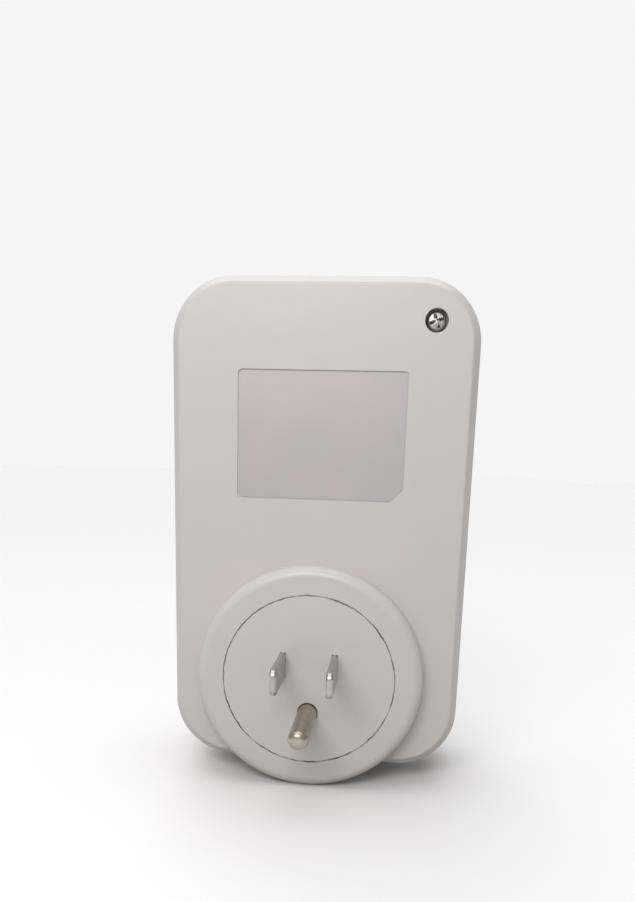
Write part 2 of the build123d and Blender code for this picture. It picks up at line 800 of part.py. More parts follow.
with BuildPart() as gear_shafts:
    for centre, layer in ((second_centre, 1), (first_centre, 2)):
        with BuildSketch(facing_front(wheel_back(layer) - shaft_behind_wheel, centre)):
            Circle(shaft_radius)
        extrude(amount=plate_front - wheel_back(layer) + shaft_behind_wheel)

hub_front = front_face - axle_head_height - 2 * end_play

with BuildPart() as dial_axle:
    with BuildSketch(facing_front(plate_back - axle_foot_height, dial_centre)):
        Circle(axle_radius + axle_foot_width)
    extrude(amount=axle_foot_height)
    with BuildSketch(facing_front(plate_back, dial_centre)):
        Circle(axle_radius)
    extrude(amount=hub_front + slip - plate_back)
    with BuildSketch(facing_front(hub_front + slip, dial_centre)):
        Circle(axle_head_radius)
    extrude(amount=axle_head_height)
    fillet(dial_axle.faces().sort_by(Axis.Y)[0].edges(), axle_head_edge)

# ---------------------------------------------------------------- dial and program pins

gear_rim_back = ring_back - rim_behind_ring
gear_rim_inner = gear_module * dial_teeth / 2 - rim_width

with BuildPart() as program_dial:
    with BuildSketch(facing_front(front_face - dial_face_thickness, dial_centre)):
        Circle(dial_face_radius)
    extrude(amount=dial_face_thickness)
    chamfer(program_dial.faces().sort_by(Axis.Y)[0].edges(), dial_face_edge)
    # ring wall and the slotted ring that guides the pins
    with BuildSketch(facing_front(ring_back, dial_centre)):
        Circle(dial_face_radius)
        Circle(dial_face_radius - ring_wall, mode=Mode.SUBTRACT)
    extrude(amount=front_face - dial_face_thickness - ring_back)
    with BuildSketch(facing_front(ring_back, dial_centre)):
        Circle(dial_radius)
        Circle(dial_face_radius - ring_wall, mode=Mode.SUBTRACT)
        with PolarLocations(pin_stem_inner, hours * pins_per_hour, start_angle=90 + pin_pitch / 2):
            with Locations((-pin_slot_play, 0)):
                Rectangle(
                    pin_stem_length + 2 * pin_slot_play,
                    pin_stem_width + 2 * pin_slot_play,
                    align=(Align.MIN, Align.CENTER),
                    mode=Mode.SUBTRACT,
                )
    extrude(amount=ring_thickness)
    # gear rim and hub
    with BuildSketch(facing_front(gear_rim_back, dial_centre)):
        Polygon(*wheel_outline(dial_teeth, towards_drive_pinion), align=None)
        Circle(gear_rim_inner, mode=Mode.SUBTRACT)
    extrude(amount=front_face - dial_face_thickness - gear_rim_back)
    with BuildSketch(facing_front(plate_front + hub_to_plate, dial_centre)):
        Circle(hub_radius)
    extrude(amount=front_face - plate_front - hub_to_plate)
    with BuildSketch(facing_front(hub_front, dial_centre)):
        Circle(axle_head_radius + end_play)
    extrude(amount=front_face - hub_front, mode=Mode.SUBTRACT)
    with BuildSketch(facing_front(plate_front, dial_centre)):
        Circle(axle_radius + running_clearance)
    extrude(amount=front_face - plate_front, mode=Mode.SUBTRACT)

head_back = ring_front + pin_travel + running_clearance
head_front = front_face + pin_travel
stem_back = ring_back + end_play


def hour_pins(hour):
    """The four program pins of one hour, standing up. Pressed, they lie flush with the dial's face."""
    start = 90 + 15 * (hour - time_at_pointer) + pin_pitch / 2
    span = pin_pitch * pins_per_hour
    with BuildPart() as pins:
        with BuildSketch(facing_front(head_back, dial_centre)):
            with PolarLocations(pin_head_inner, pins_per_hour, start_angle=start, angular_range=span):
                Polygon(
                    (0, -pin_head_inner_width / 2),
                    (pin_head_length, -pin_head_outer_width / 2),
                    (pin_head_length, pin_head_outer_width / 2),
                    (0, pin_head_inner_width / 2),
                    align=None,
                )
        extrude(amount=head_front - head_back)
        chamfer(pins.faces().group_by(Axis.Y)[0].edges(), pin_chamfer)
        with BuildSketch(facing_front(stem_back, dial_centre)):
            with PolarLocations(pin_stem_inner, pins_per_hour, start_angle=start, angular_range=span):
                Rectangle(pin_stem_length, pin_stem_width, align=(Align.MIN, Align.CENTER))
        extrude(amount=head_back - stem_back)
    return pins


# ---------------------------------------------------------------- gear train

with BuildPart() as drive_pinion:
    with BuildSketch(facing_front(gear_rim_back - end_play, drive_centre)):
        Polygon(*pinion_outline(drive_pinion_teeth, towards_drive_pinion + 180), align=None)
    extrude(amount=front_face - dial_face_thickness - gear_rim_back)
    with BuildSketch(facing_front(plate_front + end_play, drive_centre)):
        Circle(drive_shaft_radius + drive_collar_width)
    extrude(amount=gear_rim_back - plate_front - 2 * end_play)
    with BuildSketch(facing_front(wheel_back(0), drive_centre)):
        Circle(drive_shaft_radius)
    extrude(amount=gear_rim_back - wheel_back(0))
    with BuildSketch(facing_front(wheel_back(0) - shaft_behind_wheel, drive_centre)):
        Circle(shaft_radius)
    extrude(amount=shaft_behind_wheel)

with BuildPart() as clutch_gear:
    with BuildSketch(facing_front(wheel_back(0), drive_centre)):
        Polygon(*wheel_outline(wheel_teeth, towards_second_gear), align=None)
        Circle(drive_shaft_radius + running_clearance, mode=Mode.SUBTRACT)
        # the slots leave a springy hub, which lets the dial slip when it is set by hand
        with PolarLocations(wheel_holes_at, clutch_slots):
            SlotOverall(*clutch_slot, rotation=90, mode=Mode.SUBTRACT)
    extrude(amount=wheel_thickness)
    with BuildSketch(facing_front(wheel_back(0) + wheel_thickness, drive_centre)):
        Circle(drive_shaft_radius + clutch_hub_width)
        Circle(drive_shaft_radius + running_clearance, mode=Mode.SUBTRACT)
    extrude(amount=layer_gap - end_play)


def compound_gear(centre, layer, wheel_towards, pinion_teeth, pinion_towards):
    """A wheel with a pinion on its front side, bored for its shaft."""
    with BuildPart() as gear:
        with BuildSketch(facing_front(wheel_back(layer), centre)):
            Polygon(*wheel_outline(wheel_teeth, wheel_towards), align=None)
            with PolarLocations(wheel_holes_at, wheel_holes):
                Circle(wheel_hole_radius, mode=Mode.SUBTRACT)
        extrude(amount=wheel_thickness)
        with BuildSketch(facing_front(wheel_back(layer) + wheel_thickness, centre)):
            Polygon(*pinion_outline(pinion_teeth, pinion_towards), align=None)
        extrude(amount=layer_step + end_play)
        with BuildSketch(facing_front(wheel_back(layer), centre)):
            Circle(shaft_radius + running_clearance)
        extrude(amount=wheel_thickness + layer_step + end_play, mode=Mode.SUBTRACT)
    return gear


second_gear = compound_gear(
    second_centre, 1, towards_first_gear, second_pinion_teeth, towards_second_gear + 180
)
first_gear = compound_gear(
    first_centre, 2, towards_motor_pinion, first_pinion_teeth, towards_first_gear + 180
)

with BuildPart() as motor_pinion:
    with BuildSketch(facing_front(motor_front + end_play, pinion_centre)):
        Polygon(*pinion_outline(motor_pinion_teeth, towards_motor_pinion + 180), align=None)
    extrude(amount=wheel_back(2) + wheel_thickness - motor_front)
    with BuildSketch(facing_front(cup_front - bobbin_to_cover, pinion_centre)):
        Circle(shaft_radius)
    extrude(amount=bobbin_to_cover + motor_cover_thickness + end_play)

# ---------------------------------------------------------------- motor

with BuildPart() as motor_cover:
    with BuildSketch(facing_front(cup_front, motor_centre)):
        Circle(motor_radius)
    extrude(amount=motor_cover_thickness)
    for place in ear_places:
        with BuildSketch(facing_front(cup_front)):
            with Locations(place):
                Circle(ear_radius)
        extrude(amount=motor_cover_thickness)
    with BuildSketch(facing_front(cup_front)):
        for place in ear_places:
            with Locations(place):
                Circle(ear_peg_radius + shaft_gap)
        for centre in (motor_centre, pinion_centre):
            with Locations(centre):
                Circle(shaft_radius + running_clearance)
    extrude(amount=motor_cover_thickness, mode=Mode.SUBTRACT)

with BuildPart() as motor_cup:
    with BuildSketch(facing_front(motor_back, motor_centre)):
        Circle(motor_radius)
    extrude(amount=cup_front - motor_back)
    fillet(motor_cup.faces().sort_by(Axis.Y)[-1].edges(), motor_edge_radius)
    with BuildSketch(facing_front(motor_back + motor_wall, motor_centre)):
        Circle(motor_radius - motor_wall)
    extrude(amount=cup_front - motor_back - motor_wall, mode=Mode.SUBTRACT)

with BuildPart() as coil_bobbin:
    with BuildSketch(facing_front(bobbin_back, motor_centre)):
        Circle(bobbin_bore + bobbin_wall)
    extrude(amount=bobbin_front - bobbin_back)
    for flange_back in (bobbin_back, bobbin_front - bobbin_wall):
        with BuildSketch(facing_front(flange_back, motor_centre)):
            Circle(motor_radius - motor_wall - slip)
        extrude(amount=bobbin_wall)
    with BuildSketch(facing_front(bobbin_back, motor_centre)):
        Circle(bobbin_bore)
    extrude(amount=bobbin_front - bobbin_back, mode=Mode.SUBTRACT)

with BuildPart() as coil_winding:
    with BuildSketch(facing_front(bobbin_back + bobbin_wall, motor_centre)):
        Circle(winding_radius)
        Circle(bobbin_bore + bobbin_wall, mode=Mode.SUBTRACT)
    extrude(amount=bobbin_front - bobbin_back - 2 * bobbin_wall)

with BuildPart() as rotor:
    with BuildSketch(facing_front(bobbin_back + rotor_end_gap, motor_centre)):
        Circle(rotor_radius)
    extrude(amount=bobbin_front - bobbin_back - 2 * rotor_end_gap)
    with BuildSketch(facing_front(motor_back + motor_wall + slip, motor_centre)):
        Circle(shaft_radius)
    extrude(amount=motor_front - motor_back - motor_wall - 3 * slip)

# ---------------------------------------------------------------- follower lever and microswitch

with BuildPart() as cam_follower:
    with BuildSketch(Plane.XY.offset(nose_z - follower_width / 2)) as lever_view:
        nose_side = case_middle - follower_nose_width / 2
        with Locations((nose_side, -follower_back)):
            Rectangle(follower_end - nose_side, follower_bar, align=(Align.MIN, Align.MAX))
        with Locations((case_middle, -follower_back)):
            Rectangle(follower_nose_width, nose_tip - follower_back, align=(Align.CENTER, Align.MAX))
        fillet(lever_view.vertices().group_by(Axis.Y)[0], follower_nose_radius)
    extrude(amount=follower_width)
    with BuildSketch(Plane.XY.offset(nose_z - follower_width / 2 - pivot_ear_gap - pivot_ear + slip)):
        with Locations((pivot_x, -pivot_depth)):
            Circle(trunnion_radius)
    extrude(amount=follower_width + 2 * (pivot_ear_gap + pivot_ear - slip))

plunger_back = switch_front - plunger_seat

with BuildPart() as switch_body:
    with BuildSketch(facing_front(switch_front - switch_depth)):
        with Locations((switch_right, nose_z)):
            Rectangle(switch_length, switch_width, align=(Align.MAX, Align.CENTER))
    extrude(amount=switch_depth)
    fillet(switch_body.edges().filter_by(Axis.Z), switch_edge_radius)
    with BuildSketch(facing_front(plunger_back - plunger_bore_end, (plunger_x, nose_z))):
        Circle(plunger_radius + running_clearance)
    extrude(amount=plunger_seat + plunger_bore_end, mode=Mode.SUBTRACT)
    # terminal slots
    terminal_depths = (
        switch_front - switch_depth + rear_terminal_from_back,
        switch_front - front_terminal_from_front,
    )
    for depth in terminal_depths:
        with BuildSketch(facing_front(depth, (switch_right - switch_length, nose_z))):
            Rectangle(terminal_seat, terminal_width, align=(Align.MIN, Align.CENTER))
        extrude(amount=terminal_thickness, mode=Mode.SUBTRACT)

with BuildPart() as switch_terminals:
    for depth in terminal_depths:
        with BuildSketch(facing_front(depth, (switch_right - switch_length + terminal_seat, nose_z))):
            Rectangle(terminal_seat + terminal_length, terminal_width, align=(Align.MAX, Align.CENTER))
        extrude(amount=terminal_thickness)

with BuildPart() as switch_plunger:
    with BuildSketch(facing_front(plunger_back, (plunger_x, nose_z))):
        Circle(plunger_radius)
    extrude(amount=follower_back - plunger_gap - plunger_back)
    fillet(switch_plunger.faces().sort_by(Axis.Y)[0].edges(), plunger_tip_radius)

# ---------------------------------------------------------------- mode switch

slider_low = window_bottom - slider_travel - slider_below
slider_high = window_bottom + window_height + slider_above
slider_depths = (window_back - slider_behind, plate_front - slip)
cam_top = nose_z - follower_width / 2 - cam_below_tail
cam_depths = (window_back - cam_behind_window, follower_back - cam_to_tail)

with BuildPart() as mode_switch:
    with BuildSketch(facing_front(slider_depths[0])):
        with Locations((slider_side, slider_low)):
            Rectangle(slider_thickness, slider_high - slider_low, align=(Align.MAX, Align.MIN))
    extrude(amount=slider_depths[1] - slider_depths[0])
    with BuildSketch(facing_front(window_back + 2 * slip)):
        with Locations((slider_side - slip, knob_bottom)):
            Rectangle(right_side + knob_proud - slider_side + slip, knob_height, align=(Align.MIN, Align.MIN))
    extrude(amount=window_width - 4 * slip)
    fillet(mode_switch.faces().sort_by(Axis.X)[-1].edges(), knob_edge_radius)
    for line in range(grip_grooves):
        line_z = knob_bottom + knob_height / 2 + (line - (grip_grooves - 1) / 2) * grip_pitch
        with BuildSketch(Plane.XY.offset(line_z - grip_groove / 2)):
            with Locations((right_side + knob_proud - grip_groove, -window_back)):
                Rectangle(grip_groove, window_width, align=(Align.MIN, Align.MAX))
        extrude(amount=grip_groove, mode=Mode.SUBTRACT)
    # arm that carries the cam up to the follower's tail
    with BuildSketch(facing_front(cam_depths[0])):
        with Locations((cam_outer, slider_low)):
            Rectangle(cam_thickness, cam_top - slider_low, align=(Align.MAX, Align.MIN))
    extrude(amount=cam_depths[1] - cam_depths[0])

# ---------------------------------------------------------------- indicator

with BuildPart() as indicator_lens:
    with BuildSketch(facing_front(front_inside - lens_flange, lens_place)):
        Circle(lens_radius)
    extrude(amount=lens_flange)
    with BuildSketch(facing_front(front_inside, lens_place)):
        Circle(lens_radius - lens_step - running_clearance)
    extrude(amount=wall + lens_proud)
    fillet(indicator_lens.faces().sort_by(Axis.Y)[0].edges(), lens_edge_radius)

lamp_front = front_inside - lens_flange - slip
lamp_back = lamp_front - lamp_length

with BuildPart() as neon_lamp:
    with BuildSketch(facing_front(lamp_back, lens_place)):
        Circle(lamp_radius)
    extrude(amount=lamp_length)
    fillet(neon_lamp.faces().sort_by(Axis.Y)[0].edges(), lamp_tip_radius)

resistor_place = (lens_place[0], lens_place[1] - lens_radius - resistor_below_lens)
lamp_lead_place = (lens_place[0], lens_place[1] - lamp_radius / 2)

with BuildPart() as lamp_resistor:
    with BuildSketch(facing_front(lamp_back, resistor_place)):
        Circle(resistor_radius)
    extrude(amount=resistor_length)
    for place in (resistor_place, lamp_lead_place):
        with BuildSketch(facing_front(lamp_back - lamp_lead_bend, place)):
            Circle(lamp_lead_radius)
        extrude(amount=lamp_lead_bend)
    with BuildSketch(Plane.XY.offset(resistor_place[1])):
        with Locations((resistor_place[0], lamp_lead_bend - lamp_back)):
            Circle(lamp_lead_radius)
    extrude(amount=lamp_lead_place[1] - resistor_place[1])

# ---------------------------------------------------------------- wires

terminal_x = switch_right - switch_length - terminal_length / 2
terminal_edge = nose_z - terminal_width / 2
tail_top = blades_above_centre + blade_width / 2
contact_top = blades_above_centre + contact_height / 2
tail_lead_depth = plug_disc_thickness + lead_radius + lead_to_disc
first_depth, second_depth = [depth + terminal_thickness / 2 for depth in terminal_depths]
cup_low = motor_centre[1] - motor_radius
line_side = blade_x + blade_thickness / 2


def along(*stops):
    """A route from stops given as x, depth and z."""
    return [(x, -depth, z) for x, depth, z in stops]


line_lead = along(
    (line_side, rear_inside + 0.8, blades_above_centre),
    (line_side + 5, rear_inside + 0.8, blades_above_centre),
    (line_side - 3, first_depth, tail_top + 11),
    (terminal_x, first_depth, tail_top + 33),
    (terminal_x, first_depth, terminal_edge),
)
load_lead = along(
    (terminal_x, second_depth, terminal_edge),
    (terminal_x, second_depth, contact_top + 33),
    (line_side - 4, second_depth, contact_top + 17),
    (line_side + contact_leaf / 2, line_tab_back + 2, contact_top + 7),
    (line_side + contact_leaf / 2, line_tab_back + 2, contact_top),
)
motor_line_lead = along(
    (motor_centre[0], cup_front - 4, cup_low),
    (motor_centre[0], cup_front - 4, tail_top + 24),
    (blade_x, tail_lead_depth, tail_top + 9),
    (blade_x, tail_lead_depth, tail_top),
)
motor_neutral_lead = along(
    (motor_centre[0], motor_back + 2.5, cup_low),
    (motor_centre[0], motor_back + 2.5, tail_top + 28),
    (-blade_x, tail_lead_depth, tail_top + 13),
    (-blade_x, tail_lead_depth, tail_top),
)

with BuildPart() as wires:
    for route, radius, bend in (
        (line_lead, wire_radius, wire_bend),
        (load_lead, wire_radius, wire_bend),
        (motor_line_lead, lead_radius, lead_bend),
        (motor_neutral_lead, lead_radius, lead_bend),
    ):
        with BuildLine() as run:
            FilletPolyline(*route, radius=bend)
        with BuildSketch(Plane(origin=run.line @ 0, z_dir=run.line % 0)):
            Circle(radius)
        sweep()

os.makedirs("parts", exist_ok=True)
pieces = {
    "rear_housing": rear_housing,
    "front_housing": front_housing,
    "time_pointer": time_pointer,
    "rating_label": rating_label,
    "self_tapping_screws": self_tapping_screws,
    "plug_disc": plug_disc,
    "line_blade": line_blade,
    "neutral_blade": neutral_blade,
    "ground_pin": ground_pin,
    "outlet_insert": outlet_insert,
    "line_contact": line_contact,
    "neutral_contact": neutral_contact,
    "ground_contact": ground_contact,
    "gear_plate": gear_plate,
    "gear_shafts": gear_shafts,
    "dial_axle": dial_axle,
    "program_dial": program_dial,
    "drive_pinion": drive_pinion,
    "clutch_gear": clutch_gear,
    "second_gear": second_gear,
    "first_gear": first_gear,
    "motor_pinion": motor_pinion,
    "motor_cover": motor_cover,
    "motor_cup": motor_cup,
    "coil_bobbin": coil_bobbin,
    "coil_winding": coil_winding,
    "rotor": rotor,
    "cam_follower": cam_follower,
    "switch_body": switch_body,
    "switch_terminals": switch_terminals,
    "switch_plunger": switch_plunger,
    "mode_switch": mode_switch,
    "indicator_lens": indicator_lens,
    "neon_lamp": neon_lamp,
    "lamp_resistor": lamp_resistor,
    "wires": wires,
}
for hour in range(hours):
    pieces[f"pins_hour_{hour:02d}"] = hour_pins(hour)
for label, piece in pieces.items():
    piece.part.label = label
    export_step(piece.part, f"parts/{label}.step")
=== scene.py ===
from math import pi, radians

import bmesh
import bpy
from mathutils import Matrix, Vector


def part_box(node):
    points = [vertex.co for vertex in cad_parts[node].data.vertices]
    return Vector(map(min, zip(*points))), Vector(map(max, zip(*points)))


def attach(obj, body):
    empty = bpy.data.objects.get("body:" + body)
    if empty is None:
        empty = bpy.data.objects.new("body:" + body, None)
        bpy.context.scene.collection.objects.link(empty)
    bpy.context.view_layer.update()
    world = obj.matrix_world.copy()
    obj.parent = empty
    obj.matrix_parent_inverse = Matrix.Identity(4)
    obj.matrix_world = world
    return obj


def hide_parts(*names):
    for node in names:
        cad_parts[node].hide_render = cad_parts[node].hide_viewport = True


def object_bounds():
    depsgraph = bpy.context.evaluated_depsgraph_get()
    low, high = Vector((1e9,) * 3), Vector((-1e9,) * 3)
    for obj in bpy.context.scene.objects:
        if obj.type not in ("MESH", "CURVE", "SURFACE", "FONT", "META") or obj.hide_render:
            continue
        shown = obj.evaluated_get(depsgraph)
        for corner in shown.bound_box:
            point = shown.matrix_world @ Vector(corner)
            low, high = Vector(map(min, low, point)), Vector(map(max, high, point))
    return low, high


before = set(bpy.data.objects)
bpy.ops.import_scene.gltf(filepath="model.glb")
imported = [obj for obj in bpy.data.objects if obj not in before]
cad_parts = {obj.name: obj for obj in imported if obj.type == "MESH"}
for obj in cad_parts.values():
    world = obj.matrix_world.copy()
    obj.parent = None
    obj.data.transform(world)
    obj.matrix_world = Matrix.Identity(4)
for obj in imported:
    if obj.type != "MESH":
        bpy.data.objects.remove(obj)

# The looks of a plug-in timer switch. Metres, +Z up: the plug points along +Y and the dial faces -Y.
# The floor is level with the lowest point of the plug boss, which hangs below the case's lower edge.

MM = 0.001
cad_low, cad_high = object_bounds()

# ---------------------------------------------------------------- sizes and places

dial_low, dial_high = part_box("program_dial")
dial_centre = (dial_low + dial_high) / 2
dial_face = dial_low.y
case_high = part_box("front_housing")[1]
coil_low, coil_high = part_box("coil_winding")
lamp_low, lamp_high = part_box("neon_lamp")

hours = 24
time_at_pointer = 12.5
hour_angle = 2 * pi / hours

sharp_angle = radians(32)

# printing on the dial and beside the mode switch
print_thickness = 0.03 * MM
capital_share = 0.72
tick_outer = 26.6 * MM
hour_tick = (2.0 * MM, 0.32 * MM)
quarter_tick = (1.1 * MM, 0.2 * MM)
number_radius = 21.9 * MM
number_height = 3.1 * MM
half_day_radius = 12.6 * MM
half_day_height = 2.8 * MM
night_ring = (17.0 * MM, 18.6 * MM)
night_hours = (18.0, 30.0)
arrow_ring = (12.2 * MM, 12.9 * MM)
arrow_spread = 34.0
arrow_head = 1.5 * MM
triangle_share = 0.62
window_low, window_high = 45.2 * MM, 64.2 * MM
window_depth = 23.0 * MM
mark_height = 3.4 * MM
mark_from_window = 3.6 * MM
on_mark_width = 0.6 * MM
clock_rim_width = 0.4 * MM
clock_hand_width = 0.35 * MM
# each hand of the clock mark, as its turn and its length in shares of the mark's height
clock_hands = ((0.0, 0.36), (-pi / 2, 0.26))

# seam between the plug disc and the boss
seam_radius = 21.05 * MM

# screws, as x, z, depth of the seat and length of the shank, and how far each is turned
case_screw = (-26.4 * MM, 84.1 * MM, 8.5 * MM, 10.0 * MM)
plate_screws = [
    (-29.2 * MM, 24.6 * MM, 26.0 * MM, 10.0 * MM),
    (27.2 * MM, 24.6 * MM, 26.0 * MM, 10.0 * MM),
    (-30.08 * MM, 74.96 * MM, 26.0 * MM, 10.0 * MM),
]
first_screw_turn, screw_turn_step = 0.35, 0.9
screw_sides = 32
head_rings = [(1.6, 0.0), (1.85, -0.08), (2.08, -0.3), (2.22, -0.68), (2.3, -1.2), (2.3, -1.9), (2.2, -2.0)]
cross_arm = (0.36 * MM, 1.6 * MM)
cross_depth = 1.1 * MM
cross_taper = 0.5
shank_radius = 1.05 * MM
shank_point_length, shank_point_radius = 1.2 * MM, 0.25 * MM
thread_radius = 1.3 * MM
thread_pitch = 1.0 * MM
thread_steps = 16
thread_root_share = 0.9
thread_foot, thread_crest = 0.28, 0.04

camera_place = Vector((-18.056, 179.566, 53.33)) * MM
camera_target = Vector((-1.266, -5.5, 12.66)) * MM
camera_roll = radians(-1.636)
camera_lens = 30.693
camera_shift = (0.0007, 0.1934)
sensor_height = 36.0

# winding: the outline of one turn of wire, as place and dip in shares of the pitch
bobbin_core = 8.3 * MM
winding_slip = 0.05 * MM
wire_pitch = 0.28 * MM
wire_dips = ((0.0, 0.3), (0.25, 0.05), (0.5, 0.0), (0.75, 0.05))

# lamp
electrode_radius = 0.32 * MM
electrode_from_middle = 0.7 * MM
electrode_share = 0.62
electrode_inset = 0.4 * MM

# studio
floor_radius = 4.0
paper_far, paper_near = (0.88, 0.877, 0.875), (0.75, 0.747, 0.745)
paper_in_bounce = (0.40, 0.395, 0.38)
under_lamp = Vector((0.05, 0.2, cad_low.z))
near_to_far = (0.06, 0.42)
overhead_place, overhead_size, overhead_watts = (0.05, 0.26, 0.21), (0.2, 0.12), 0.51
overhead_colour = (1.0, 0.985, 0.985)
ceiling_from, ceiling_strength, ceiling_width = (0.08, -0.2, 1.0), 1.34, radians(60)
front_from, front_strength, front_width = (0.25, -0.75, 0.5), 0.75, radians(40)
air_colour = (0.975, 0.97, 0.985, 1.0)
backdrop_colour = (0.915, 0.913, 0.916, 1.0)
air_strength = (0.04, 0.6)
brighter_side = Vector((0.25, 0.3, 0.92)).normalized()
light_target = Vector((0.0, 0.0, 40.0)) * MM

# ---------------------------------------------------------------- node helpers

range_sockets = ("From Min", "From Max", "To Min", "To Max")

class Finish:
    """A material with a principled shader, and the procedural detail that its functions add."""

    def __init__(self, name, colour, roughness, metallic=0.0, **sockets):
        self.material = bpy.data.materials.new(name)
        self.material.use_nodes = True
        self.nodes = self.material.node_tree.nodes
        self.shader = self.nodes["Principled BSDF"]
        self.colour = (*colour, 1.0)
        self.shader.inputs["Base Color"].default_value = self.colour
        self.shader.inputs["Roughness"].default_value = roughness
        self.shader.inputs["Metallic"].default_value = metallic
        for socket, value in sockets.items():
            self.shader.inputs[socket.replace("_", " ")].default_value = value
        self.roughness = roughness
        self.place = self.add("ShaderNodeTexCoord").outputs["Object"]

    def add(self, kind, **settings):
        node = self.nodes.new(kind)
        for name, value in settings.items():
            setattr(node, name, value)
        return node

    def link(self, output, socket):
        self.material.node_tree.links.new(output, socket)

    def stretched(self, stretch):
        """Object coordinates, scaled along each axis."""
        mapping = self.add("ShaderNodeMapping")
        mapping.inputs["Scale"].default_value = stretch
        self.link(self.place, mapping.inputs["Vector"])
        return mapping.outputs["Vector"]

    def noise(self, size, detail=3.0, stretch=None, roughness=0.55):
        """Noise whose blobs have a size in metres."""
        texture = self.add("ShaderNodeTexNoise")
        texture.inputs["Scale"].default_value = 1 / size
        texture.inputs["Detail"].default_value = detail
        texture.inputs["Roughness"].default_value = roughness
        self.link(self.stretched(stretch) if stretch else self.place, texture.inputs["Vector"])
        return texture.outputs["Fac"]

    def ranged(self, value, low, high, to_low, to_high):
        """A value mapped from one range to another, and held at its ends."""
        node = self.add("ShaderNodeMapRange")
        for socket, number in zip(range_sockets, (low, high, to_low, to_high)):
            node.inputs[socket].default_value = number
        self.link(value, node.inputs["Value"])
        return node.outputs["Result"]

    def maths(self, operation, first, second):
        node = self.add("ShaderNodeMath", operation=operation)
        for socket, value in zip(node.inputs, (first, second)):
            if isinstance(value, (int, float)):
                socket.default_value = value
            else:
                self.link(value, socket)
        return node.outputs[0]

    def tint(self, mask, colour, blend="MIX"):
        """Mixes a colour into the base colour where the mask is high."""
        mix = self.add("ShaderNodeMix", data_type="RGBA", blend_type=blend)
        base = self.shader.inputs["Base Color"]
        if base.links:
            self.link(base.links[0].from_socket, mix.inputs["A"])
        else:
            mix.inputs["A"].default_value = self.colour
        mix.inputs["B"].default_value = (*colour, 1.0)
        self.link(mask, mix.inputs["Factor"])
        self.link(mix.outputs["Result"], base)
        return self

    def mottled(self, colour, size, strength):
        """Soft patches of another colour."""
        return self.tint(self.ranged(self.noise(size, 1.0), 0.3, 0.7, 0.0, strength), colour)

    def handled(self, spread, size):
        """Roughness that varies in soft patches, as on a surface that has been handled."""
        patches = self.noise(size, 1.5)
        self.link(
            self.ranged(patches, 0.3, 0.7, self.roughness - spread, self.roughness + spread),
            self.shader.inputs["Roughness"],
        )
        return self

    def grained(self, size, depth, detail=2.0, stretch=None):
        """A fine relief. The depth is in metres."""
        bump = self.add("ShaderNodeBump")
        bump.inputs["Strength"].default_value = 1.0
        bump.inputs["Distance"].default_value = depth
        normal = self.shader.inputs["Normal"]
        if normal.links:
            self.link(normal.links[0].from_socket, bump.inputs["Normal"])
        self.link(self.noise(size, detail, stretch), bump.inputs["Height"])
        self.link(bump.outputs["Normal"], normal)
        return self

    def ringed(self, radius, width, colour, strength):
        """Painted shade: a wavering, broken dark line round the plug's axis, where the seam's shadow falls.
        """
        distance = self.add("ShaderNodeVectorMath", operation="LENGTH")
        self.link(self.stretched((1.0, 0.0, 1.0)), distance.inputs[0])
        waver = self.ranged(self.noise(1.6 * MM), 0.3, 0.7, -0.6 * width, 0.6 * width)
        off_line = self.maths("SUBTRACT", self.maths("ADD", distance.outputs["Value"], waver), radius)
        away = self.maths("ABSOLUTE", off_line, 0.0)
        line = self.ranged(away, 0.5 * width, width, 1.0, 0.0)
        broken = self.ranged(self.noise(5 * MM), 0.38, 0.6, 0.1, 1.0)
        return self.tint(self.maths("MULTIPLY", self.maths("MULTIPLY", line, broken), strength), colour)

    def edges(self, width, colour, strength):
        """Painted highlight: edges tinted towards another colour over a width in metres, in patches."""
        bevel = self.add("ShaderNodeBevel", samples=4)
        bevel.inputs["Radius"].default_value = width
        geometry = self.add("ShaderNodeNewGeometry")
        dot = self.add("ShaderNodeVectorMath", operation="DOT_PRODUCT")
        self.link(bevel.outputs["Normal"], dot.inputs[0])
        self.link(geometry.outputs["Normal"], dot.inputs[1])
        rim_highlight_mask = self.ranged(dot.outputs["Value"], 0.995, 0.8, 0.0, 1.0)
        patchy = self.maths("MULTIPLY", rim_highlight_mask, self.ranged(self.noise(3 * MM), 0.35, 0.65, 0.3, 1.0))
        return self.tint(self.maths("MULTIPLY", patchy, strength), colour)


# ---------------------------------------------------------------- finishes


def moulded(name, colour, roughness=0.36, cloud=0.96, grain=0.25 * MM):
    """Injection-moulded plastic: a faint cloudiness, a fine mould texture and patchy gloss."""
    finish = Finish(name, colour, roughness, Specular_IOR_Level=0.5)
    red, green, blue = colour
    finish.mottled((red * cloud, green * cloud, blue * cloud), 14 * MM, 0.8)
    finish.mottled((red, green * cloud, blue * cloud), 21 * MM, 0.6)
    finish.mottled((red * cloud, green, blue * cloud * cloud), 17 * MM, 0.6)
    finish.handled(0.05, 9 * MM)
    finish.grained(grain, 0.004 * MM)
    finish.grained(5 * MM, 0.01 * MM)
    return finish


def metal(name, colour, roughness, along=None, size=0.12 * MM, depth=0.004 * MM):
    """Bare or plated metal, drawn or rolled along one axis, with duller patches."""
    finish = Finish(name, colour, roughness, metallic=1.0)
    finish.mottled([channel * 0.86 for channel in colour], 2.5 * MM, 0.7)
    finish.handled(0.05, 1.5 * MM)
    finish.grained(size, depth, stretch=along)
    return finish


